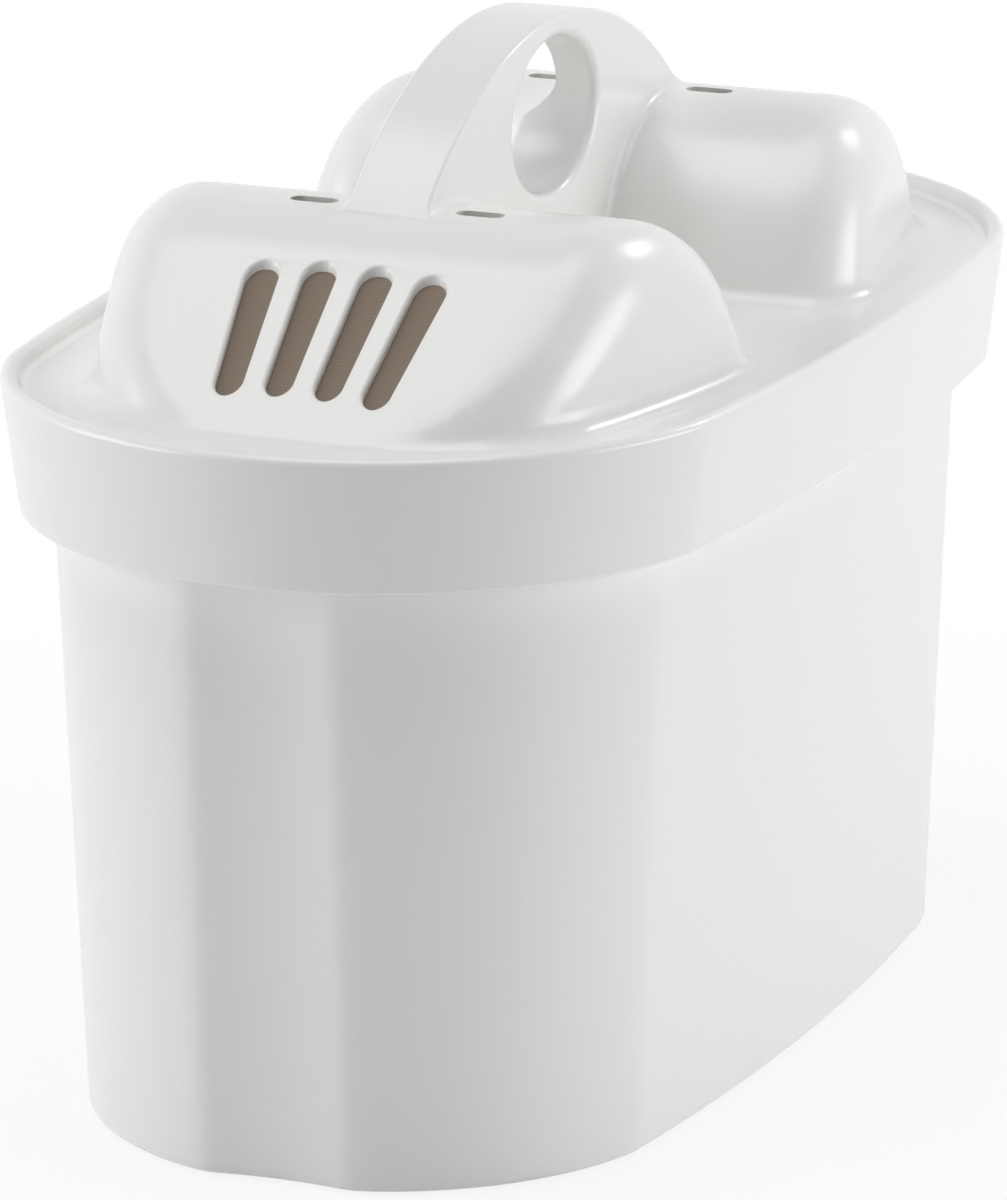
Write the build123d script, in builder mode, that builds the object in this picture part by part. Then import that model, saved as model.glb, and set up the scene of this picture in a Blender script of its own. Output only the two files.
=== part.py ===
"""Oval water filter cartridge: a cup of granules under a lid with two hollow domes and a handle.

The long axis lies along X and the handle arch stands in the XZ plane, with +Z up.
The origin is at the middle of the foot. Lengths are in millimetres, angles in degrees.
"""
from build123d import *
from math import atan2, degrees, radians, sqrt, tan
import os

os.makedirs("parts", exist_ok=True)

# Rim outline: three tangent arcs in each quarter
rim_length = 108.0
rim_width = 60.0
side_radius = 280.0
corner_radius = 14.5
corner_overrun = 0.25

# Cup
shoulder_height = 47.0
collar_height = 10.3
body_step = 3.9
body_draft = 2.4
collar_draft = 7.2
body_wall = 1.5
collar_wall = 1.4
floor_thickness = 1.8
foot_rounding = 1.0
lip_rounding = 0.6
collar_edge_rounding = 0.3

# Shallow flute down each narrow end
flute_depth = 1.3
flute_radius = 22.0
flute_crest_radius = 3.5

# Outlet slots in the floor
outlet_length = 9.0
outlet_width = 1.4
outlet_pitch = 6.0
outlet_columns = 11
outlet_row_pitch = 14.0

# Lid plate, and the skirt that carries it on the shoulder
lid_drop = 1.2
lid_thickness = 1.6
lid_clearance = 0.1
lid_edge_rounding = 0.4
skirt_wall = 1.3

# Domes
valley_width = 15.2
dome_margin = 5.8
dome_end_margin = 6.3
dome_end_gap = 8.7
dome_side_radius = 130.0
dome_corner_radius = 10.0
dome_height = 12.85
dome_lean = 27.0
dome_slope = 37.0
dome_draft = 3.0
dome_wall = 1.1
crown_flat = 1.5
dome_edge_radius = 5.3
dome_root_radius = 2.0
dome_depth = 6.0

# Inlet slots of one dome, fanned about a point beyond the rim
slot_count = 4
slot_pitch_angle = 4.13
slot_fan_gap = 49.7
slot_outer_gap = 4.8
slot_inner_gap = 12.5
slot_outer_radius = 1.08
slot_inner_radius = 1.3
slot_rounding = 0.3

# Vent slits on the crown of each dome
vent_gap = 22.0
vent_spacing = 13.4
vent_length = 3.8
vent_width = 1.6

# Handle arch, its web and the finger hole
arch_rise = 10.1
arch_overrun = 2.5
handle_width = 6.5
band_thickness = 1.3
web_burial = 1.2
web_thickness = 3.4
web_crease_radius = 0.8
hole_gap = 0.3
hole_height = 12.0
hole_length = 16.8
pocket_rise = 7.4
pocket_end_radius = 0.9
hole_rounding = 0.7
band_rounding = 0.4

# Screens and granules
inlet_screen_thickness = 0.5
inlet_screen_width = 18.0
inlet_screen_length = 21.7
inlet_screen_end_gap = 3.1
inlet_screen_bend_extra = 1.2
outlet_screen_thickness = 0.6
fill_clearance = 0.3
fill_headroom = 2.0

# Values that follow from the sizes above
half_length = rim_length / 2
half_width = rim_width / 2
rim_height = shoulder_height + collar_height
lid_top = rim_height - lid_drop
lid_under = lid_top - lid_thickness
shoulder_top = shoulder_height + body_wall
skirt_inset = (
    collar_wall + lid_clearance + (rim_height - shoulder_top) * tan(radians(collar_draft))
)
dome_lean_run = tan(radians(dome_lean))
dome_slope_rise = tan(radians(dome_slope))
dome_foot = valley_width / 2
dome_reach = half_length - dome_end_gap
crown_level = lid_top + dome_height
crown_start = dome_foot + dome_height * dome_lean_run
crown_end = dome_reach - dome_height / dome_slope_rise
crown_radius = (crown_end - crown_start - crown_flat) / (
    tan(radians(90 - dome_lean) / 2) + tan(radians(dome_slope) / 2)
)
crown_middle = crown_start + crown_radius * tan(radians(90 - dome_lean) / 2) + crown_flat / 2
arch_height = crown_level + arch_rise
arch_half_span = crown_middle + arch_overrun
arch_radius = (arch_half_span**2 + arch_rise**2) / (2 * arch_rise)
arch_centre = arch_height - arch_radius
web_half_length = arch_half_span + web_burial
hole_middle = arch_height - band_thickness - hole_gap - hole_height / 2
ledge_height = arch_height - band_thickness - pocket_rise
pocket_back = handle_width / 2 - web_thickness


def tangent_oval(reach, breadth, side_bend, corner_bend, inset):
    """An oval of tangent arcs from its half sizes, drawn in by the same distance all round."""
    # End arc that passes just inside the side arc, which leaves room for the corner arc
    touch = side_bend + corner_overrun
    end_bend = (touch**2 - reach**2 - (side_bend - breadth) ** 2) / (touch - reach) / 2
    end_x = reach - end_bend
    side_y = breadth - side_bend

    # Corner centre from its distances to the centres of the end arc and the side arc
    from_end = end_bend - corner_bend
    from_side = side_bend - corner_bend
    span = sqrt(end_x**2 + side_y**2)
    along = (from_end**2 - from_side**2 + span**2) / (2 * span)
    across = sqrt(from_end**2 - along**2)
    corner_x = end_x - (along * end_x + across * side_y) / span
    corner_y = (along * side_y - across * end_x) / span
    end_angle = degrees(atan2(corner_y, corner_x - end_x))
    side_angle = degrees(atan2(corner_y - side_y, corner_x))

    with BuildSketch(mode=Mode.PRIVATE) as outline:
        with BuildLine():
            end = CenterArc((end_x, 0), end_bend - inset, -end_angle, 2 * end_angle)
            corner = CenterArc(
                (corner_x, corner_y), corner_bend - inset, end_angle, side_angle - end_angle
            )
            side = CenterArc((0, side_y), side_bend - inset, side_angle, 180 - 2 * side_angle)
            far_corner = mirror(corner, about=Plane.YZ)
            mirror(end, about=Plane.YZ)
            mirror(side, about=Plane.XZ)
            mirror(corner, about=Plane.XZ)
            mirror(far_corner, about=Plane.XZ)
        make_face()
    return outline.sketch


def oval(inset):
    """The rim outline drawn in by the same distance all round."""
    return tangent_oval(half_length, half_width, side_radius, corner_radius, inset)


def oval_plug(inset, bottom, top, draft):
    """A drafted oval plug between two heights, with its inset given at the bottom."""
    with BuildPart(mode=Mode.PRIVATE) as plug:
        with BuildSketch(Plane.XY.offset(bottom)):
            add(oval(inset))
        extrude(amount=top - bottom, taper=draft)
    return plug.part


def collar_plug(wall, bottom, top):
    """The drafted collar's shape between two heights, drawn in by a wall."""
    inset = wall + (rim_height - bottom) * tan(radians(collar_draft))
    return oval_plug(inset, bottom, top, -collar_draft)


def body_inset(height):
    """How far the drafted body stands inside the rim outline at a height."""
    return body_step + (shoulder_height - height) * tan(radians(body_draft))


def body_plug(wall, bottom, top):
    """The drafted body between two heights, drawn in by a wall, with a groove down each end."""
    low = body_inset(bottom) + wall
    high = body_inset(top) + wall
    groove_centre = half_length - flute_depth + flute_radius
    body = oval_plug(low, bottom, top, -body_draft)
    with BuildPart(mode=Mode.PRIVATE) as plug:
        add(body)
        with Locations((groove_centre, 0, bottom), (-groove_centre, 0, bottom)):
            Cone(
                flute_radius + low,
                flute_radius + high,
                top - bottom,
                align=(Align.CENTER, Align.CENTER, Align.MIN),
                mode=Mode.SUBTRACT,
            )
        level = plug.faces().sort_by(Axis.Z)[0].edges() + plug.faces().sort_by(Axis.Z)[-1].edges()
        rising = plug.edges() - level
        crests = rising.sort_by(lambda edge: abs(edge.center().Y))[0:4]
        fillet(crests, flute_crest_radius - wall)
    return plug.part


def dome_profile(wall, bend):
    """Side view of the dome over +X from the lid's top face, drawn in by a wall."""
    with BuildSketch(mode=Mode.PRIVATE) as profile:
        with BuildLine():
            Polyline(
                (dome_foot - dome_depth * dome_lean_run, -dome_depth),
                (crown_start, dome_height),
                (crown_end, dome_height),
                (dome_reach + dome_depth / dome_slope_rise, -dome_depth),
                close=True,
            )
        make_face()
        fillet(profile.vertices().group_by(Axis.Y)[-1], bend)
        offset(amount=-wall, mode=Mode.REPLACE)
    return profile.sketch


def dome_plug(wall):
    """The dome over +X drawn in by a wall: leaning face, round crown and slotted incline."""
    inset = wall - dome_depth * tan(radians(dome_draft))
    with BuildPart(mode=Mode.PRIVATE) as sides:
        with BuildSketch(Plane.XY.offset(lid_top - dome_depth)):
            add(
                tangent_oval(
                    half_length - dome_end_margin,
                    half_width - dome_margin,
                    dome_side_radius,
                    dome_corner_radius,
                    inset,
                )
            )
        extrude(amount=dome_depth + dome_height, taper=dome_draft)
    with BuildPart(mode=Mode.PRIVATE) as plug:
        with BuildSketch(Plane.XZ.shift_origin((0, 0, lid_top))):
            add(dome_profile(wall, crown_radius))
        extrude(amount=half_width, both=True)
        add(sides.part, mode=Mode.INTERSECT)
        foot = plug.faces().sort_by(Axis.Z)[0]
        slope_edges = plug.edges() - foot.edges()
        fillet(slope_edges.sort_by(Axis.X)[-1], dome_edge_radius - wall)
    return plug.part


# Cup: body, shoulder and drafted collar in one moulding
with BuildPart() as cup:
    add(body_plug(0, 0, shoulder_height))
    add(collar_plug(0, shoulder_height, rim_height))
    add(body_plug(body_wall, floor_thickness, shoulder_top), mode=Mode.SUBTRACT)
    add(collar_plug(collar_wall, shoulder_top, rim_height), mode=Mode.SUBTRACT)
    fillet(cup.faces().sort_by(Axis.Z)[0].outer_wire().edges(), foot_rounding)
    rim = cup.faces().filter_by(Plane.XY).sort_by(Axis.Z)[-1]
    fillet(rim.edges(), lip_rounding)
    shoulder = cup.faces().filter_by(Plane.XY).filter_by_position(
        Axis.Z, shoulder_height - 0.1, shoulder_height + 0.1
    )
    fillet(shoulder[0].outer_wire().edges(), collar_edge_rounding)
    with BuildSketch(Plane.XY):
        with GridLocations(outlet_pitch, outlet_row_pitch, outlet_columns, 2):
            SlotOverall(outlet_length, outlet_width, rotation=90)
    extrude(amount=floor_thickness, mode=Mode.SUBTRACT)
cup.part.label = "cup"
export_step(cup.part, "parts/cup.step")


# Dome over +X: solid outside with fanned inlet slots and a pair of vents, edges rounded
with BuildSketch() as slot:
    with Locations((-slot_fan_gap - slot_outer_gap, 0)):
        Circle(slot_outer_radius)
    with Locations((-slot_fan_gap - slot_inner_gap, 0)):
        Circle(slot_inner_radius)
    make_hull()

fan_half_angle = slot_pitch_angle * (slot_count - 1) / 2
with BuildPart() as dome:
    add(dome_plug(0))
    split(bisect_by=Plane.XY.offset(lid_under), keep=Keep.TOP)
    with BuildSketch(Plane.XY.offset(lid_top)):
        with Locations((dome_reach + slot_fan_gap, 0)):
            with PolarLocations(
                0, slot_count, -fan_half_angle, 2 * fan_half_angle, endpoint=True
            ):
                add(slot.sketch)
    extrude(amount=dome_height, mode=Mode.SUBTRACT)
    slot_rims = dome.edges(Select.LAST).filter_by(Axis.Z, reverse=True)
    fillet(slot_rims.filter_by(lambda rim: rim.center().Z > lid_top + slot_rounding), slot_rounding)
    with BuildSketch(Plane.XY.offset(lid_top)):
        with Locations((dome_reach - vent_gap, 0)):
            with GridLocations(0, vent_spacing, 1, 2):
                SlotOverall(vent_length, vent_width, rotation=90)
    extrude(amount=dome_height, mode=Mode.SUBTRACT)

# Lid: plate, skirt, two hollow domes and the handle web in one moulding
with BuildPart() as lid:
    add(collar_plug(collar_wall + lid_clearance, lid_under, lid_top))
    fillet(lid.faces().sort_by(Axis.Z)[-1].edges(), lid_edge_rounding)
    add(dome.part)
    mirror(dome.part, about=Plane.YZ)
    plate_top = lid.faces().filter_by(Plane.XY).sort_by_distance((0, 0, lid_top))[0]
    fillet([edge for ring in plate_top.inner_wires() for edge in ring.edges()], dome_root_radius)

    # Web between the domes under a round-topped arch
    with BuildSketch(Plane.XZ):
        with Locations((0, arch_centre)):
            Circle(arch_radius)
        with Locations((0, lid_under)):
            Rectangle(
                2 * web_half_length,
                arch_height,
                align=(Align.CENTER, Align.MIN),
                mode=Mode.INTERSECT,
            )
    extrude(amount=handle_width / 2, both=True)
    web_sides = lid.faces().filter_by(Plane.XZ).sort_by(SortBy.AREA)[-2:]
    web_edges = web_sides.edges().filter_by(lambda edge: edge.length < web_half_length)
    fillet(web_edges, web_crease_radius)
    fillet(lid.edges().sort_by(SortBy.LENGTH).sort_by(Axis.Z)[-2:], band_rounding)

    # Finger hole through the web, and the pocket that thins the web behind it
    with BuildSketch(Plane.XZ.offset(-handle_width)):
        with Locations((0, hole_middle)):
            Ellipse(hole_length / 2, hole_height / 2)
    extrude(amount=2 * handle_width, mode=Mode.SUBTRACT)
    with BuildSketch(Plane.XZ.offset(pocket_back)) as pocket:
        with Locations((0, arch_centre)):
            Circle(arch_radius - band_thickness)
        with Locations((0, ledge_height)):
            Rectangle(
                2 * arch_radius,
                arch_height,
                align=(Align.CENTER, Align.MIN),
                mode=Mode.INTERSECT,
            )
        fillet(pocket.vertices(), pocket_end_radius)
    extrude(amount=-handle_width, mode=Mode.SUBTRACT)
    web_face = lid.faces().filter_by(Plane.XZ).sort_by(Axis.Y)[0]
    fillet(web_face.inner_wires()[0].edges(), hole_rounding)

    # Hollow under each dome, open to the slots and vents
    dome_hollow = dome_plug(dome_wall)
    add(dome_hollow, mode=Mode.SUBTRACT)
    mirror(dome_hollow, about=Plane.YZ, mode=Mode.SUBTRACT)

    # Skirt that stands on the cup's shoulder
    with BuildSketch(Plane.XY.offset(shoulder_top)):
        add(oval(skirt_inset))
        add(oval(skirt_inset + skirt_wall), mode=Mode.SUBTRACT)
    extrude(amount=lid_under - shoulder_top)
lid.part.label = "lid"
export_step(lid.part, "parts/lid.step")

# Inlet screens: a bent sheet under the incline and crown of each dome
screen_bend = crown_radius + inlet_screen_bend_extra
with BuildPart() as inlet_screen:
    with BuildSketch(Plane.XZ.shift_origin((0, 0, lid_top))):
        add(dome_profile(dome_wall, screen_bend))
        add(dome_profile(dome_wall + inlet_screen_thickness, screen_bend), mode=Mode.SUBTRACT)
        with Locations((dome_reach - inlet_screen_end_gap, 0)):
            Rectangle(
                inlet_screen_length,
                dome_height,
                align=(Align.MAX, Align.MIN),
                mode=Mode.INTERSECT,
            )
    extrude(amount=inlet_screen_width / 2, both=True)
inlet_screen_rear = inlet_screen.part
inlet_screen_front = mirror(inlet_screen_rear, about=Plane.YZ)
inlet_screen_rear.label = "inlet_screen_rear"
inlet_screen_front.label = "inlet_screen_front"
export_step(inlet_screen_rear, "parts/inlet_screen_rear.step")
export_step(inlet_screen_front, "parts/inlet_screen_front.step")

# Outlet screen on the floor, with the granules on top of it
fill_bottom = floor_thickness + outlet_screen_thickness
outlet_screen = body_plug(body_wall + fill_clearance, floor_thickness, fill_bottom)
outlet_screen.label = "outlet_screen"
export_step(outlet_screen, "parts/outlet_screen.step")
granules = body_plug(body_wall + fill_clearance, fill_bottom, shoulder_height - fill_headroom)
granules.label = "granules"
export_step(granules, "parts/granules.step")
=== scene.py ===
# %% [markdown]
# # An oval water filter cartridge
#
# The real object is a small tub of filter granules, moulded in white polypropylene, with a
# moulded lid on it. The lid has two hollow domes with slots that let water in, and an arched
# handle with a finger hole between them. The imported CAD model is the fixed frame. Everything
# here is made for it, in metres, and rides on the one body that the object has.

import math

import bmesh
import bpy
import numpy as np
from mathutils import Matrix, Vector


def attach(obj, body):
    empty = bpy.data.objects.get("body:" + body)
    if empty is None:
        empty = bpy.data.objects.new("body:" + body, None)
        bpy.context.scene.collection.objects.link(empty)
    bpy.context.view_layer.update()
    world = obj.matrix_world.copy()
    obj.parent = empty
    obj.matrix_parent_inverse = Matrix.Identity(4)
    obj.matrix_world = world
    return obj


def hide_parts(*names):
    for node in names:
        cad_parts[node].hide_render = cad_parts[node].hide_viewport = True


MM = 0.001
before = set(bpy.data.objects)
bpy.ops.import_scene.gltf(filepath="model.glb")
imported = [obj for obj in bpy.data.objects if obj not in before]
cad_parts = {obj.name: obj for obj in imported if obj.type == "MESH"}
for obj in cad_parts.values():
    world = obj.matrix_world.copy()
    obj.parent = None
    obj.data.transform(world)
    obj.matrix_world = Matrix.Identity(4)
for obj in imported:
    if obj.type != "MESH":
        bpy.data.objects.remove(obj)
scene = bpy.context.scene
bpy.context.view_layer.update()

# %% [markdown]
# ## The rim outline
#
# Seen from above, the tub is an oval of tangent arcs: a wide arc along each side, a tight one
# round each end and a small corner arc between them. Such an outline could be a Bezier curve,
# but arcs have a simple gain: a point keeps its arc's centre and its outward direction, so
# the same outline drawn in by any distance is one subtraction. Every height of the tub is
# this outline drawn in by some distance.

# %% One quarter of the outline, mirrored to a loop
END_RADIUS, END_X = 29.0035, 24.9965
CORNER_RADIUS, CORNER_X, CORNER_Y = 14.5, 29.1558, 13.8943
SIDE_RADIUS, SIDE_Y = 280.0, -250.0


def rim_loop(end_steps=60, corner_steps=8, side_steps=40):
    """Rim points and outward directions of the oval, in order round a full turn.

    A point is its arc's centre plus the radius times (cos a, sin a), where the angle a runs
    through the end arc, the corner arc and half the side arc. Mirrors give the other quarters.
    """
    corner_start = math.atan2(CORNER_Y, CORNER_X - END_X)
    corner_stop = math.atan2(CORNER_Y - SIDE_Y, CORNER_X)
    steps = (end_steps, corner_steps, side_steps)
    angle = np.concatenate(
        [
            np.linspace(0, corner_start, end_steps, endpoint=False),
            np.linspace(corner_start, corner_stop, corner_steps, endpoint=False),
            np.linspace(corner_stop, math.pi / 2, side_steps + 1),
        ]
    )
    arc = np.repeat([0, 1, 2], np.add(steps, (0, 0, 1)))
    centre = np.array([(END_X, 0), (CORNER_X, CORNER_Y), (0, SIDE_Y)])[arc]
    radius = np.array([END_RADIUS, CORNER_RADIUS, SIDE_RADIUS])[arc]
    outward = np.stack([np.cos(angle), np.sin(angle)], axis=1)
    rim = centre + radius[:, None] * outward
    flips = [((1, 1), 1), ((-1, 1), -1), ((-1, -1), 1), ((1, -1), -1)]
    points = np.concatenate([(rim * sign)[::order][:-1] for sign, order in flips])
    directions = np.concatenate([(outward * sign)[::order][:-1] for sign, order in flips])
    return points, directions


rim_points, rim_outward = rim_loop()
print(len(rim_points), "points round the rim, in mm", rim_points.max(axis=0) * 2)

# %% [markdown]
# ## A skin from a profile
#
# The tub is one closed skin: it starts at the middle of its underside, runs out round the
# foot, up the wall, over the lip, down the inside and back to the middle of the floor. Each
# row of the grid is one station of that profile: how much the outline is scaled, how far it
# is drawn in, its height, and how strongly the groove in the narrow ends shows. Lathe-like
# tools can't make an oval with a groove, so the rows are worked out directly.

# %% Stations of a profile
GROOVE_RADIUS, GROOVE_X, GROOVE_REACH, CREST = 22.0, 74.7, 15.0, 0.35


def straight(start, stop, count):
    """Stations evenly between two, each (scale, drawn-in distance, height, groove share)."""
    return np.linspace(start, stop, count)


def bend(middle, radius, first, last, groove, count=7):
    """Stations round a bend of the profile.

    The drawn-in distance is that of the bend's middle less radius times cos a, and the height
    is its height plus radius times sin a, for a from the first to the last angle in degrees.
    """
    a = np.radians(np.linspace(first, last, count))
    inset = middle[0] - radius * np.cos(a)
    height = middle[1] + radius * np.sin(a)
    return np.stack([np.ones(count), inset, height, np.full(count, groove)], axis=1)


def skin_points(stations):
    """The grid of points that carries the rim outline through the stations.

    A point is the rim point less the drawn-in distance times its outward direction. At the
    ends its x is then pulled in by (d + sqrt(d^2 + k^2)) / 2, where d is how far it stands
    beyond the groove's circle and k rounds the crest between groove and wall. Further from
    the middle than the groove's reach the pull is next to nothing, and is left out.
    """
    scale, inset, height, groove = (stations[:, i, None] for i in range(4))
    x = rim_points[:, 0] - inset * rim_outward[:, 0]
    y = rim_points[:, 1] - inset * rim_outward[:, 1]
    reach = np.sqrt(np.maximum((GROOVE_RADIUS + inset) ** 2 - y**2, 0))
    beyond = np.abs(x) - (GROOVE_X - reach)
    pull = (beyond + np.sqrt(beyond**2 + CREST**2)) / 2
    x = x - np.sign(x) * groove * np.where(np.abs(y) < GROOVE_REACH, pull, 0)
    z = np.broadcast_to(height, x.shape)
    return np.stack([scale * x, scale * y, z], axis=-1) * MM


ends = [skin_points(np.array([(1, 0, 0, share)]))[0, 0, 0] / MM for share in (0, 1)]
print("half length at the middle, plain and grooved, in mm:", np.round(ends, 2))

# %% [markdown]
# ## From a grid to a mesh
#
# Neighbouring rows and columns make quads. A row meets itself again after a turn, so the seam
# is closed, and each flat end closes on one middle point with a fan of triangles. Edges that
# turn more than 35 degrees, or 40 on the lid, are marked sharp, and the rest shade as one
# smooth moulding.

# %% Mesh from a closed grid
def finish_mesh(mesh, sharp_degrees=35):
    """Smooth shading that breaks at edges that turn more than the given angle."""
    mesh.shade_smooth()
    mesh.set_sharp_from_angle(angle=math.radians(sharp_degrees))


def skin_mesh(name, points):
    """A mesh of quads (r, c), (r, c+1), (r+1, c+1), (r+1, c), closed by a fan at both ends."""
    rows, columns, _ = points.shape
    index = np.arange(rows * columns).reshape(rows, columns)
    following = np.roll(index, -1, axis=1)
    quads = np.stack([index[:-1], following[:-1], following[1:], index[1:]], axis=-1)
    first, last = rows * columns, rows * columns + 1
    start_fan = np.stack([np.full(columns, first), following[0], index[0]], axis=-1)
    end_fan = np.stack([np.full(columns, last), index[-1], following[-1]], axis=-1)
    middles = points[[0, -1]].mean(axis=1)
    mesh = bpy.data.meshes.new(name)
    mesh.from_pydata(
        np.concatenate([points.reshape(-1, 3), middles]),
        [],
        [*quads.reshape(-1, 4).tolist(), *start_fan.tolist(), *end_fan.tolist()],
    )
    return mesh


def place(name, mesh, slot, node=None):
    """Puts a finished mesh in the scene on the one body; the slot argument is not used."""
    piece = bpy.data.objects.new(name, mesh)
    scene.collection.objects.link(piece)
    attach(piece, "root")
    if node:
        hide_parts(node)
    print(name, len(mesh.polygons), "faces")
    return piece


# %% [markdown]
# ## The cup's profile
#
# The lower wall leans in toward the foot, as a moulding does to leave its tool. At the top a
# wider collar stands out over a small step and carries the round lip. The lid is welded in
# just under the lip, and the weld leaves a small hollow curve where the two meet.

# %% Profile of the cup
SHOULDER, SHELF, RIM, FLOOR = 47.0, 48.5, 57.3, 1.8
LID_TOP = 56.1
BODY_WALL, COLLAR_WALL = 1.5, 1.4
FOOT_ROUND, SHOULDER_ROUND, LIP_ROUND, WELD_ROUND = 1.0, 0.3, 0.6, 0.55
BODY_SLOPE = math.tan(math.radians(2.4))
COLLAR_SLOPE = math.tan(math.radians(7.2))


def body_inset(height):
    """Drawn-in distance of the body: 3.91 at the shoulder, and more by its slope below it."""
    return 3.91 + (SHOULDER - height) * BODY_SLOPE


def collar_inset(height):
    """Drawn-in distance of the collar: 0.01 at the rim, and more by its slope below it."""
    return 0.01 + (RIM - height) * COLLAR_SLOPE


foot = body_inset(FOOT_ROUND) + FOOT_ROUND
collar_foot = collar_inset(SHOULDER) + SHOULDER_ROUND
lip = collar_inset(RIM) + 0.65
lip_inside = collar_inset(RIM) + 0.8
inside = lip_inside + 0.65
weld = inside + 0.6
collar_inner_top = collar_inset(55) + COLLAR_WALL
collar_inner_foot = collar_inset(SHELF) + COLLAR_WALL
inner_top = body_inset(SHELF) + BODY_WALL
inner_foot = body_inset(FLOOR) + BODY_WALL
cup_stations = np.concatenate(
    [
        straight((0.1, foot, 0, 1), (0.9, foot, 0, 1), 8),
        bend((foot, FOOT_ROUND), FOOT_ROUND, -90, -2, 1),
        straight((1, body_inset(2), 2, 1), (1, body_inset(SHOULDER), SHOULDER, 1), 14),
        straight((1, 3.3, SHOULDER, 0.5), (1, 2.2, SHOULDER, 0), 3),
        bend((collar_foot, SHOULDER + SHOULDER_ROUND), SHOULDER_ROUND, -90, 7, 0),
        straight((1, collar_inset(48), 48, 0), (1, collar_inset(56.2), 56.2, 0), 7),
        bend((lip, RIM - LIP_ROUND), LIP_ROUND, 8, 90, 0),
        bend((lip_inside, RIM - LIP_ROUND), LIP_ROUND, 90, 172, 0),
        bend((weld, LID_TOP + WELD_ROUND), WELD_ROUND, 0, -90, 0),
        straight((1, weld + 0.05, LID_TOP - 0.2, 0), (1, inside + 0.2, LID_TOP - 0.3, 0), 2),
        straight((1, collar_inner_top, 55, 0), (1, collar_inner_foot, SHELF, 0), 4),
        straight((1, 3.5, SHELF, 0), (1, inner_top, SHELF, 1), 3),
        straight((1, body_inset(47) + BODY_WALL, 47, 1), (1, inner_foot, FLOOR, 1), 8),
        straight((0.9, inner_foot, FLOOR, 1), (0.1, inner_foot, FLOOR, 1), 8),
    ]
)
cup_mesh = skin_mesh("cup_skin", skin_points(cup_stations))
print(len(cup_stations), "stations,", len(cup_mesh.polygons), "faces")

# %% [markdown]
# ## Outlet slots in the floor
#
# Water leaves through two rows of narrow slots. Rows of the grid can't follow them, so they
# are cut with a Boolean modifier by one mesh that holds all the round-ended bars.

# %% Cut the outlet slots
def slot_bars(columns=11, pitch=6.0, row=7.0, length=9.0, width=1.4, arc=13):
    """Round-ended bars: two half circles of half the width, a straight length apart.

    One outline is repeated on the grid of slots, and each bar runs through the floor.
    """
    a = np.linspace(0, math.pi, arc)
    cap = np.stack([np.cos(a), np.sin(a)], axis=1) * width / 2
    outline = np.concatenate([cap + (0, (length - width) / 2), -cap - (0, (length - width) / 2)])
    x, y = np.meshgrid((np.arange(columns) - (columns - 1) / 2) * pitch, (-row, row))
    spots = np.stack([x.ravel(), y.ravel()], axis=1)
    flat = spots[:, None, :] + outline[None]
    levels = [np.dstack([flat, np.full(flat.shape[:2], z)]) for z in (-1.0, FLOOR + 1)]
    points = np.stack(levels, axis=1)
    n = len(outline)
    ring = np.arange(n)
    walls = np.stack([ring, np.roll(ring, -1), np.roll(ring, -1) + n, ring + n], axis=1)
    faces = []
    for base in range(0, len(spots) * 2 * n, 2 * n):
        faces += (walls + base).tolist()
        faces += [(ring[::-1] + base).tolist(), (ring + n + base).tolist()]
    return points.reshape(-1, 3) * MM, faces


def carve(mesh, steps):
    """The mesh after its Boolean steps, each an operation and the closed mesh that does it."""
    blank = bpy.data.objects.new("blank", mesh)
    things = [blank]
    for operation, tool_mesh in steps:
        tool = bpy.data.objects.new("tool", tool_mesh)
        step = blank.modifiers.new("carve", "BOOLEAN")
        step.operation = operation
        step.solver = "EXACT"
        step.object = tool
        things.append(tool)
    for thing in things:
        scene.collection.objects.link(thing)
    depsgraph = bpy.context.evaluated_depsgraph_get()
    carved = bpy.data.meshes.new_from_object(blank.evaluated_get(depsgraph))
    for thing in things:
        bpy.data.objects.remove(thing)
    print("carved from", len(mesh.polygons), "to", len(carved.polygons), "faces")
    return carved


bar_points, bar_faces = slot_bars()
bar_mesh = bpy.data.meshes.new("slot_bars")
bar_mesh.from_pydata(bar_points, [], bar_faces)
cut_mesh = carve(cup_mesh, [("DIFFERENCE", bar_mesh)])
finish_mesh(cut_mesh)
cup = place("cup_moulding", cut_mesh, "shell", "cup")

# %% [markdown]
# ## The lid
#
# The lid's domes, slots, vents and handle are one moulding with many small blends. Surfaces
# worked out anew would only come near them, and the CAD model holds them exactly. Its mesh is
# loose triangles, so a copy of it is merged into one closed skin.

# %% Merge a copy of the lid
lid_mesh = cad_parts["lid"].data.copy()
lid_mesh.name = "lid_skin"
shell = bmesh.new()
shell.from_mesh(lid_mesh)
loose = len(shell.verts)
bmesh.ops.remove_doubles(shell, verts=shell.verts, dist=0.002 * MM)
open_edges = sum(not edge.is_manifold for edge in shell.edges)
shell.to_mesh(lid_mesh)
print(loose, "loose points merged to", len(shell.verts), "with", open_edges, "open edges")
shell.free()

# %% [markdown]
# ## The rounded foot of the pocket
#
# Behind the finger hole the web is thinned by a pocket. Its foot swells out to the web's full
# thickness in one hollow curve, and the hole's far rim is rounded there, so the edge that shows
# through the hole is a soft S. A bevel of the old step can't make that curve. So the foot is
# filled with a block, and the hollow and the hole are cut again, by closed skins made of rows.

# %% Rows of the block and of the hollow
BAND_CENTRE, BAND_INSIDE = 41.65, 36.1
POCKET_BACK, WEB_BACK, BEHIND_WEB = 0.15, 3.25, 3.65
FOOT_LOW, FOOT_HIGH = 69.0, 72.6


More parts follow.
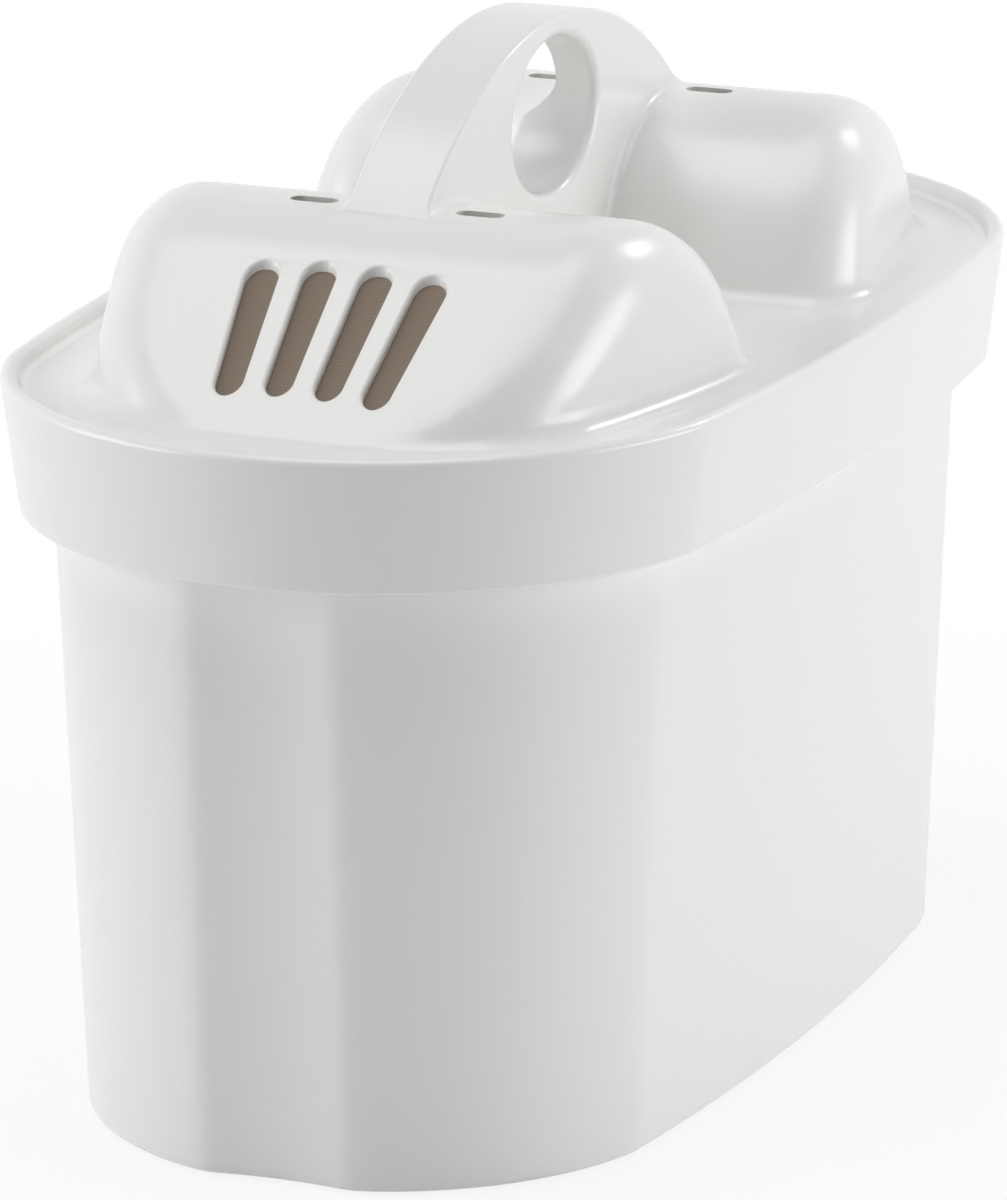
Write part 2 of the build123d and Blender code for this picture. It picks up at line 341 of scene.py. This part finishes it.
def foot_rows(back, front, radius, low, high, rows=25, columns=41):
    """Level rows, each a closed loop between y = back and y = front(z).

    Half its length is that of the chord at its height in a circle of the given radius round
    the band's centre: sqrt(radius^2 - (z - centre)^2).
    """
    z = np.linspace(low, high, rows)[:, None]
    reach = np.sqrt(radius**2 - (z - BAND_CENTRE) ** 2)
    across = np.linspace(-1, 1, columns)
    x = reach * np.concatenate([across, across[::-1]])
    y = np.repeat(np.stack([np.full(rows, back), front(z[:, 0])], axis=1), columns, axis=1)
    return np.stack([x, y, np.broadcast_to(z, x.shape)], axis=-1) * MM


def hollow_back(z):
    """Swells from the pocket's back to the web's back as the square of the share fallen."""
    share = np.clip((FOOT_HIGH - z) / (FOOT_HIGH - FOOT_LOW), 0, 1)
    return POCKET_BACK + (WEB_BACK + 0.05 - POCKET_BACK) * share**2


def level_front(z):
    """The block's own front: level, a little short of the web's back."""
    return np.full_like(z, WEB_BACK - 0.05)


block = foot_rows(0.05, level_front, BAND_INSIDE + 0.5, FOOT_LOW + 0.4, FOOT_HIGH)
hollow = foot_rows(BEHIND_WEB, hollow_back, BAND_INSIDE - 0.05, FOOT_LOW, FOOT_HIGH + 0.1)
print("block and hollow:", block.shape, hollow.shape)


# %% [markdown]
# The finger hole goes through the block too. Its wall is an ellipse, and where two walls lie in
# one place a Boolean cut leaves scraps. So the new wall crosses the old one at a slight angle,
# and stays clear of it in the upper half, where nothing is cut.

# %% Rows of the hole
def hole_rows(middle=71.45, half_length=8.4, half_height=6.0, rounding=0.7, columns=120):
    """Ellipses along y through the hole's lower half, widened round the far rim.

    The ellipse crosses the hole's wall from 0.05 inside it to 0.03 outside it behind the near
    rim, and widens by r (1 - cos a) while y rises by r sin a at the far one. Above the middle
    both fade out to 0.3 inside the wall, where nothing is cut.
    """
    a = np.radians(np.linspace(0, 90, 9))
    y = np.concatenate([[-2.6, -1.8, 0, 1.8], WEB_BACK - rounding * (1 - np.sin(a)), [BEHIND_WEB]])
    past = np.concatenate([[-0.05], np.full(len(y) - 1, 0.03)])
    wider = np.concatenate([np.zeros(4), rounding * (1 - np.cos(a)), [rounding]])
    turn = np.linspace(0, 2 * math.pi, columns, endpoint=False)
    low = np.clip(2 - 5 * np.sin(turn), 0, 1)
    lower = np.clip(0.5 - 2.5 * np.sin(turn), 0, 1)
    grown = past[:, None] * low - 0.3 * (1 - low) + wider[:, None] * lower
    x = (half_length + grown) * np.cos(turn)
    z = middle + (half_height + grown) * np.sin(turn)
    return np.stack([x, np.broadcast_to(y[:, None], x.shape), z], axis=-1) * MM


hole = hole_rows()
print("hole:", hole.shape)

# %% [markdown]
# Joined and cut, the lid has many thin faces beside large ones. Sharp edges are kept by angle,
# and the Weighted Normal modifier lets the large faces lead the shading, so that the blends
# look round instead of faceted. The CAD mesh brings its own stored normals, which would hide
# the sharp edges, so they go first.

# %% Cut and smooth the lid
def face_outward(mesh):
    """Turns the faces of a closed mesh outward."""
    skin = bmesh.new()
    skin.from_mesh(mesh)
    bmesh.ops.recalc_face_normals(skin, faces=skin.faces)
    skin.to_mesh(mesh)
    skin.free()


steps = []
for operation, rows in (("UNION", block), ("DIFFERENCE", hollow), ("DIFFERENCE", hole)):
    tool_mesh = skin_mesh("foot_tool", rows)
    face_outward(tool_mesh)
    steps.append((operation, tool_mesh))
lid_cut = carve(lid_mesh, steps)
lid_cut.attributes.remove(lid_cut.attributes["custom_normal"])
finish_mesh(lid_cut, 40)
lid = place("lid_moulding", lid_cut, "shell", "lid")
weighted = lid.modifiers.new("lead_by_large_faces", "WEIGHTED_NORMAL")
weighted.keep_sharp = True
weighted.weight = 100

# %% [markdown]
# ## The inlet meshes
#
# A fine mesh closes the slots of each dome, so that granules stay in. It is laid in the tool
# before the plastic is shot, so it sits inside the wall over the slots and comes out under it
# at the crown. Its path is the dome's side view: a straight incline, a bend and a level top,
# each point moved in along the surface's normal by how deep the mesh lies.

# %% Sheet along the dome's side view
INCLINE, CROWN_TOP, CROWN_RADIUS, BEND_START = math.radians(37), 68.95, 13.32, 23.82
SHEET_FOOT, SHEET_END, EASE_START, EASE_LENGTH = 22.4, -3.3, 9.3, 2.0
DEPTH_OVER_SLOTS, DEPTH_AT_CROWN = 0.6, 1.15


def inlet_sheet(sign, half_width=9.0, thickness=0.5, rows=60, columns=13):
    """Rows from the foot of the incline to the crown, each a closed loop round the sheet.

    The path turns by an angle t: zero on the crown, then growing round the bend as the
    distance past its start over the radius, up to the incline's angle. The sheet's outside
    lies 0.6 deep over the slots and eases to 1.15 deep at the crown.
    """
    past = np.linspace(SHEET_FOOT, SHEET_END, rows)
    t = np.clip(past / CROWN_RADIUS, 0, INCLINE)
    straight_run = past - CROWN_RADIUS * t
    x = BEND_START + CROWN_RADIUS * np.sin(t) + straight_run * np.cos(t)
    z = CROWN_TOP - CROWN_RADIUS * (1 - np.cos(t)) - straight_run * np.sin(t)
    ease = np.clip((EASE_START - past) / EASE_LENGTH, 0, 1)
    deeper = DEPTH_AT_CROWN - DEPTH_OVER_SLOTS
    depth = DEPTH_OVER_SLOTS + deeper * ease**2 * (3 - 2 * ease)
    y = np.linspace(-half_width, half_width, columns)
    y = np.concatenate([y, y[::-1]])
    under = np.repeat([0, thickness], columns)
    deep = depth[:, None] + under[None, :]
    points = np.stack(
        [
            sign * (x[:, None] - deep * np.sin(t)[:, None]),
            sign * np.broadcast_to(y, deep.shape),
            z[:, None] - deep * np.cos(t)[:, None],
        ],
        axis=-1,
    )
    return points * MM


screens = []
for sign, side in ((1, "rear"), (-1, "front")):
    sheet = skin_mesh(f"inlet_mesh_{side}", inlet_sheet(sign))
    face_outward(sheet)
    finish_mesh(sheet)
    screens.append(place(f"inlet_mesh_{side}", sheet, "mesh", f"inlet_screen_{side}"))

# %% [markdown]
# ## Nodes for materials
#
# Colours are written as sRGB hex values, as a colour picker shows them, and one function turns
# them to the linear values that a shader works in. One more adds a node with its settings.

# %% Colour and node helpers
def linear(hex_colour):
    """An sRGB channel c is c / 12.92 when small, and ((c + 0.055) / 1.055) to the 2.4 above."""
    srgb = np.array([int(hex_colour[i : i + 2], 16) for i in (1, 3, 5)]) / 255
    return (*np.where(srgb <= 0.04045, srgb / 12.92, ((srgb + 0.055) / 1.055) ** 2.4), 1.0)


def add_node(tree, kind, settings=None, inputs=None):
    """Adds a node, sets its properties, and gives each input a value or a link."""
    made = tree.nodes.new(kind)
    for key, value in (settings or {}).items():
        setattr(made, key, value)
    for key, value in (inputs or {}).items():
        if isinstance(value, bpy.types.NodeSocket):
            tree.links.new(value, made.inputs[key])
        else:
            made.inputs[key].default_value = value
    return made


def new_material(name):
    """An empty node material with its output, and Object coordinates in metres."""
    material = bpy.data.materials.new(name)
    material.use_nodes = True
    tree = material.node_tree
    tree.nodes.clear()
    output = add_node(tree, "ShaderNodeOutputMaterial")
    place_in = add_node(tree, "ShaderNodeTexCoord").outputs["Object"]
    return material, tree, output, place_in


print("#808080 is", round(linear("#808080")[0], 3), "in linear light")

# %% [markdown]
# ## White polypropylene, injection moulded
#
# A steel tool gives the plastic a soft-edged gloss over a pale body. Up close the gloss is
# uneven, because the melt flows on over some ten millimetres. The skin's grain is finer than a
# tenth of a millimetre, and is drawn a third of a millimetre wide, so that it shows at all. The
# cup's outer wall is a touch duller than the lid, whose tool is polished.
#
# On the real lid the domes' ridges turn more softly than in the CAD model. A larger fillet is
# for the CAD model, so here the Bevel node helps the shading alone: it averages the surface's
# direction over a radius round each point.

# %% Softer ridges on the domes
def soft_ridges(tree, spot, radius_mm=4.0):
    """Shading normals averaged over a radius that grows from none to full on the domes' sides.

    The share is a smooth step of |y| from 9.5 to 15 mm, times one of z from 58 to 64 mm, so
    the slots, the handle, the plate and the domes' roots keep their crisp edges.
    """
    along = add_node(tree, "ShaderNodeSeparateXYZ", inputs={0: spot}).outputs
    across = add_node(tree, "ShaderNodeMath", {"operation": "ABSOLUTE"}, {0: along["Y"]})
    shares = [
        add_node(
            tree,
            "ShaderNodeMapRange",
            {"interpolation_type": "SMOOTHSTEP"},
            {"Value": value, "From Min": low * MM, "From Max": high * MM},
        ).outputs[0]
        for value, low, high in ((across.outputs[0], 9.5, 15.0), (along["Z"], 58.0, 64.0))
    ]
    share = add_node(
        tree, "ShaderNodeMath", {"operation": "MULTIPLY"}, {0: shares[0], 1: shares[1]}
    )
    radius = add_node(
        tree, "ShaderNodeMath", {"operation": "MULTIPLY"}, {0: share.outputs[0], 1: radius_mm * MM}
    )
    return add_node(
        tree, "ShaderNodeBevel", {"samples": 8}, {"Radius": radius.outputs[0]}
    ).outputs["Normal"]


# %% Moulded plastic
def moulded_plastic(name, colour, shade, gloss, soft=False, flow_mm=14.0, grain_mm=0.35):
    """Two near tones mix by the grain, and the roughness drifts with the melt's flow."""
    material, tree, output, spot = new_material(name)
    flow = add_node(
        tree,
        "ShaderNodeTexNoise",
        inputs={"Vector": spot, "Scale": 1 / (flow_mm * MM), "Detail": 0.0},
    )
    grain = add_node(
        tree,
        "ShaderNodeTexNoise",
        inputs={"Vector": spot, "Scale": 1 / (grain_mm * MM), "Detail": 2.0},
    )
    tone = add_node(
        tree,
        "ShaderNodeMix",
        {"data_type": "RGBA"},
        {"Factor": grain.outputs["Fac"], "A": linear(colour), "B": linear(shade)},
    )
    rough = add_node(
        tree,
        "ShaderNodeMapRange",
        inputs={"Value": flow.outputs["Fac"], "To Min": gloss - 0.02, "To Max": gloss + 0.03},
    )
    relief = add_node(
        tree,
        "ShaderNodeBump",
        inputs={"Height": grain.outputs["Fac"], "Strength": 0.1, "Distance": 0.004 * MM},
    )
    if soft:
        tree.links.new(soft_ridges(tree, spot), relief.inputs["Normal"])
    shader = add_node(
        tree,
        "ShaderNodeBsdfPrincipled",
        inputs={
            "Base Color": tone.outputs["Result"],
            "Roughness": rough.outputs["Result"],
            "Normal": relief.outputs["Normal"],
            "IOR": 1.49,
        },
    )
    tree.links.new(shader.outputs["BSDF"], output.inputs["Surface"])
    return material


cup_plastic = moulded_plastic("polypropylene_moulded_cup", "#EFEFEE", "#ECECEA", 0.24)
lid_plastic = moulded_plastic("polypropylene_moulded_lid", "#EDEDEC", "#EAEAE8", 0.23, soft=True)
for piece, finish in ((cup, cup_plastic), (lid, lid_plastic)):
    piece.data.materials.clear()
    piece.data.materials.append(finish)
    print(piece.name, "is", finish.name)

# %% [markdown]
# ## Woven polyester mesh
#
# Behind the slots a woven mesh holds the granules back. Its even dark tan is painted shade: the
# colour stands in for the shade inside the hollow domes, seen through the slots. The threads are
# a fifth of a millimetre apart and finer than the picture can draw. They are drawn 0.25 mm
# apart, so that a close view still shows a weave: two sets of threads at right angles, as raised
# waves.

# %% Woven mesh
def woven_mesh(name, thread, gap, pitch_mm=0.25):
    """Thread height is the larger of two sine waves, one along x and one along y."""
    material, tree, output, spot = new_material(name)
    waves = [
        add_node(
            tree,
            "ShaderNodeTexWave",
            {"wave_type": "BANDS", "bands_direction": direction},
            {"Vector": spot, "Scale": 2 * math.pi / (20 * pitch_mm * MM)},
        ).outputs["Fac"]
        for direction in ("X", "Y")
    ]
    height = add_node(tree, "ShaderNodeMath", {"operation": "MAXIMUM"}, {0: waves[0], 1: waves[1]})
    tone = add_node(
        tree,
        "ShaderNodeMix",
        {"data_type": "RGBA"},
        {"Factor": height.outputs[0], "A": linear(gap), "B": linear(thread)},
    )
    relief = add_node(
        tree,
        "ShaderNodeBump",
        inputs={"Height": height.outputs[0], "Strength": 0.3, "Distance": 0.05 * MM},
    )
    shader = add_node(
        tree,
        "ShaderNodeBsdfPrincipled",
        inputs={
            "Base Color": tone.outputs["Result"],
            "Roughness": 0.6,
            "IOR": 1.57,
            "Normal": relief.outputs["Normal"],
        },
    )
    tree.links.new(shader.outputs["BSDF"], output.inputs["Surface"])
    return material


# The mesh's two tans are painted shade: they stand in for the shade inside the hollow domes.
mesh_cloth_and_shade = woven_mesh("woven_mesh_and_painted_shade", "#756452", "#665647")
print(mesh_cloth_and_shade.name, "has", len(mesh_cloth_and_shade.node_tree.nodes), "nodes")

# %% [markdown]
# ## Granules
#
# Inside the cup lie small beads of resin among black grains of activated carbon, each under a
# millimetre. They show only through the outlet slots, so the fill stays one block, with a
# Voronoi pattern whose cells are the grains.

# %% Granules
def granule_fill(name, bead, carbon, size_mm=0.8):
    """Each Voronoi cell is one grain: its random colour picks bead or carbon by a threshold."""
    material, tree, output, spot = new_material(name)
    cells = add_node(
        tree, "ShaderNodeTexVoronoi", inputs={"Vector": spot, "Scale": 1 / (size_mm * MM)}
    )
    pick = add_node(
        tree, "ShaderNodeMath", {"operation": "GREATER_THAN"}, {0: cells.outputs["Color"], 1: 0.55}
    )
    tone = add_node(
        tree,
        "ShaderNodeMix",
        {"data_type": "RGBA"},
        {"Factor": pick.outputs[0], "A": linear(carbon), "B": linear(bead)},
    )
    relief = add_node(
        tree,
        "ShaderNodeBump",
        {"invert": True},
        {"Height": cells.outputs["Distance"], "Strength": 0.8, "Distance": 0.3 * MM},
    )
    shader = add_node(
        tree,
        "ShaderNodeBsdfPrincipled",
        inputs={
            "Base Color": tone.outputs["Result"],
            "Roughness": 0.5,
            "IOR": 1.6,
            "Normal": relief.outputs["Normal"],
        },
    )
    tree.links.new(shader.outputs["BSDF"], output.inputs["Surface"])
    return material


fill = granule_fill("carbon_and_resin_granules", "#C9A66B", "#26241F")
inner_pieces = [*screens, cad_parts["outlet_screen"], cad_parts["granules"]]
for piece in inner_pieces:
    piece.data.materials.clear()
    piece.data.materials.append(fill if piece.name == "granules" else mesh_cloth_and_shade)
    print(piece.name, "is", piece.data.materials[0].name)

# %% [markdown]
# ## The camera
#
# The camera stands where the photograph was taken: a little above the lid, looking along the
# object from one narrow end. The place and the lens were fitted to points on the rim, the
# foot and the handle. The photograph is a crop, so the lens looks past the middle of the frame,
# and the camera's shift says by how much.

# %% Camera
FRAME_WIDTH, FRAME_HEIGHT = 1007, 1200
LENS_PIXELS, MIDDLE_X, MIDDLE_Y = 9379.67, 518.31, 564.55
turn, rise, roll = math.radians(-67.53), math.radians(15.14), math.radians(-0.164)
distance = 725.86 * MM
aim = Vector((0, 0, 35.58 * MM))
toward_camera = Vector(
    (math.sin(turn) * math.cos(rise), -math.cos(turn) * math.cos(rise), math.sin(rise))
)
right = Vector((math.cos(turn), math.sin(turn), 0))
up = toward_camera.cross(right)
axes = Matrix((right, up, toward_camera)).transposed() @ Matrix.Rotation(roll, 3, "Z")
camera_data = bpy.data.cameras.new("photo_camera")
camera_data.sensor_width = 36
camera_data.lens = LENS_PIXELS * camera_data.sensor_width / FRAME_HEIGHT
camera_data.shift_x = (FRAME_WIDTH / 2 - MIDDLE_X) / FRAME_HEIGHT
camera_data.shift_y = (MIDDLE_Y - FRAME_HEIGHT / 2) / FRAME_HEIGHT
camera_data.clip_start = 0.05
camera_data.clip_end = 10
camera = bpy.data.objects.new("photo_camera", camera_data)
scene.collection.objects.link(camera)
camera.matrix_world = Matrix.Translation(aim + distance * toward_camera) @ axes.to_4x4()
scene.camera = camera
print("camera in mm:", [round(value / MM) for value in camera.matrix_world.translation])

# %% [markdown]
# ## Studio light
#
# White plastic shows its shape only through soft changes of grey. Two large soft boxes stand
# to the left and right of the object with a gap behind the camera, so faces that look at the
# camera are a little darker than those that look aside. A third hangs above, and a small one
# behind gives the short glints on the domes.

# %% Soft boxes
def soft_box(name, place, size, power, target=(0, 0, 0.04)):
    """An area lamp at a place, turned to face a target, its power in watts."""
    data = bpy.data.lights.new(name, "AREA")
    data.shape = "RECTANGLE"
    data.size, data.size_y = size
    data.energy = power
    lamp = bpy.data.objects.new(name, data)
    scene.collection.objects.link(lamp)
    lamp.location = place
    lamp.rotation_euler = (Vector(target) - Vector(place)).to_track_quat("-Z", "Y").to_euler()
    return lamp


soft_box("left_box", (-0.35, 0.60, 0.15), (0.5, 0.6), 3.3)
soft_box("right_box", (0.14, -0.69, 0.08), (0.5, 0.5), 3.8)
soft_box("top_box", (-0.05, 0.08, 0.80), (0.6, 0.6), 3.1)
soft_box("glint_box", (0.65, -0.30, 0.60), (0.14, 0.14), 0.9)

# %% [markdown]
# ## White surroundings
#
# The photograph has a pure white background. The world is white to the camera and to
# reflections, and dimmer as a light. The floor shows the object's shadow near it, and fades
# into the same white further out. It lies a tenth of a millimetre under the foot, because two
# faces in one plane would flicker.

# %% World and floor
world = bpy.data.worlds.new("studio")
scene.world = world
world.use_nodes = True
sky = world.node_tree
sky.nodes.clear()


def seen_directly(tree):
    """One for rays from the camera, from a reflection or through glass, and zero for others."""
    path = add_node(tree, "ShaderNodeLightPath").outputs
    clear = add_node(
        tree,
        "ShaderNodeMath",
        {"operation": "MAXIMUM"},
        {0: path["Is Glossy Ray"], 1: path["Is Transmission Ray"]},
    )
    return add_node(
        tree,
        "ShaderNodeMath",
        {"operation": "MAXIMUM"},
        {0: path["Is Camera Ray"], 1: clear.outputs[0]},
    ).outputs[0]


strength = add_node(
    sky, "ShaderNodeMapRange", inputs={"Value": seen_directly(sky), "To Min": 0.12, "To Max": 1.0}
)
background = add_node(
    sky,
    "ShaderNodeBackground",
    inputs={"Color": (1, 1, 1, 1), "Strength": strength.outputs["Result"]},
)
world_output = add_node(sky, "ShaderNodeOutputWorld")
sky.links.new(background.outputs["Background"], world_output.inputs["Surface"])

FLOOR_HALF, FLOOR_GAP = 2.0, 0.1 * MM
floor_mesh = bpy.data.meshes.new("floor")
corner_signs = ((-1, -1), (1, -1), (1, 1), (-1, 1))
floor_corners = [(x * FLOOR_HALF, y * FLOOR_HALF, -FLOOR_GAP) for x, y in corner_signs]
floor_mesh.from_pydata(floor_corners, [], [(0, 1, 2, 3)])
floor = bpy.data.objects.new("floor", floor_mesh)
scene.collection.objects.link(floor)
floor_finish, tree, output, spot = new_material("matt_white_paper")
away = add_node(tree, "ShaderNodeVectorMath", {"operation": "LENGTH"}, {0: spot})
fade = add_node(
    tree,
    "ShaderNodeMapRange",
    {"interpolation_type": "SMOOTHSTEP"},
    {"Value": away.outputs["Value"], "From Min": 0.04, "From Max": 0.14, "To Min": 0.85},
)
share = add_node(
    tree, "ShaderNodeMath", {"operation": "MULTIPLY"}, {0: fade.outputs[0], 1: seen_directly(tree)}
)
paper = add_node(tree, "ShaderNodeBsdfDiffuse", inputs={"Color": linear("#F7F7F7")})
glow = add_node(tree, "ShaderNodeEmission", inputs={"Color": (1, 1, 1, 1), "Strength": 1.0})
blend = add_node(
    tree,
    "ShaderNodeMixShader",
    inputs={0: share.outputs[0], 1: paper.outputs[0], 2: glow.outputs[0]},
)
tree.links.new(blend.outputs[0], output.inputs["Surface"])
floor_mesh.materials.append(floor_finish)
print(floor.name, "is", 2 * FLOOR_HALF, "m wide and", FLOOR_GAP / MM, "mm under the foot")

# %% [markdown]
# ## Finish
#
# The picture uses the Standard view, so a colour renders as it is written.

# %% Finish
scene.view_settings.view_transform = "Standard"
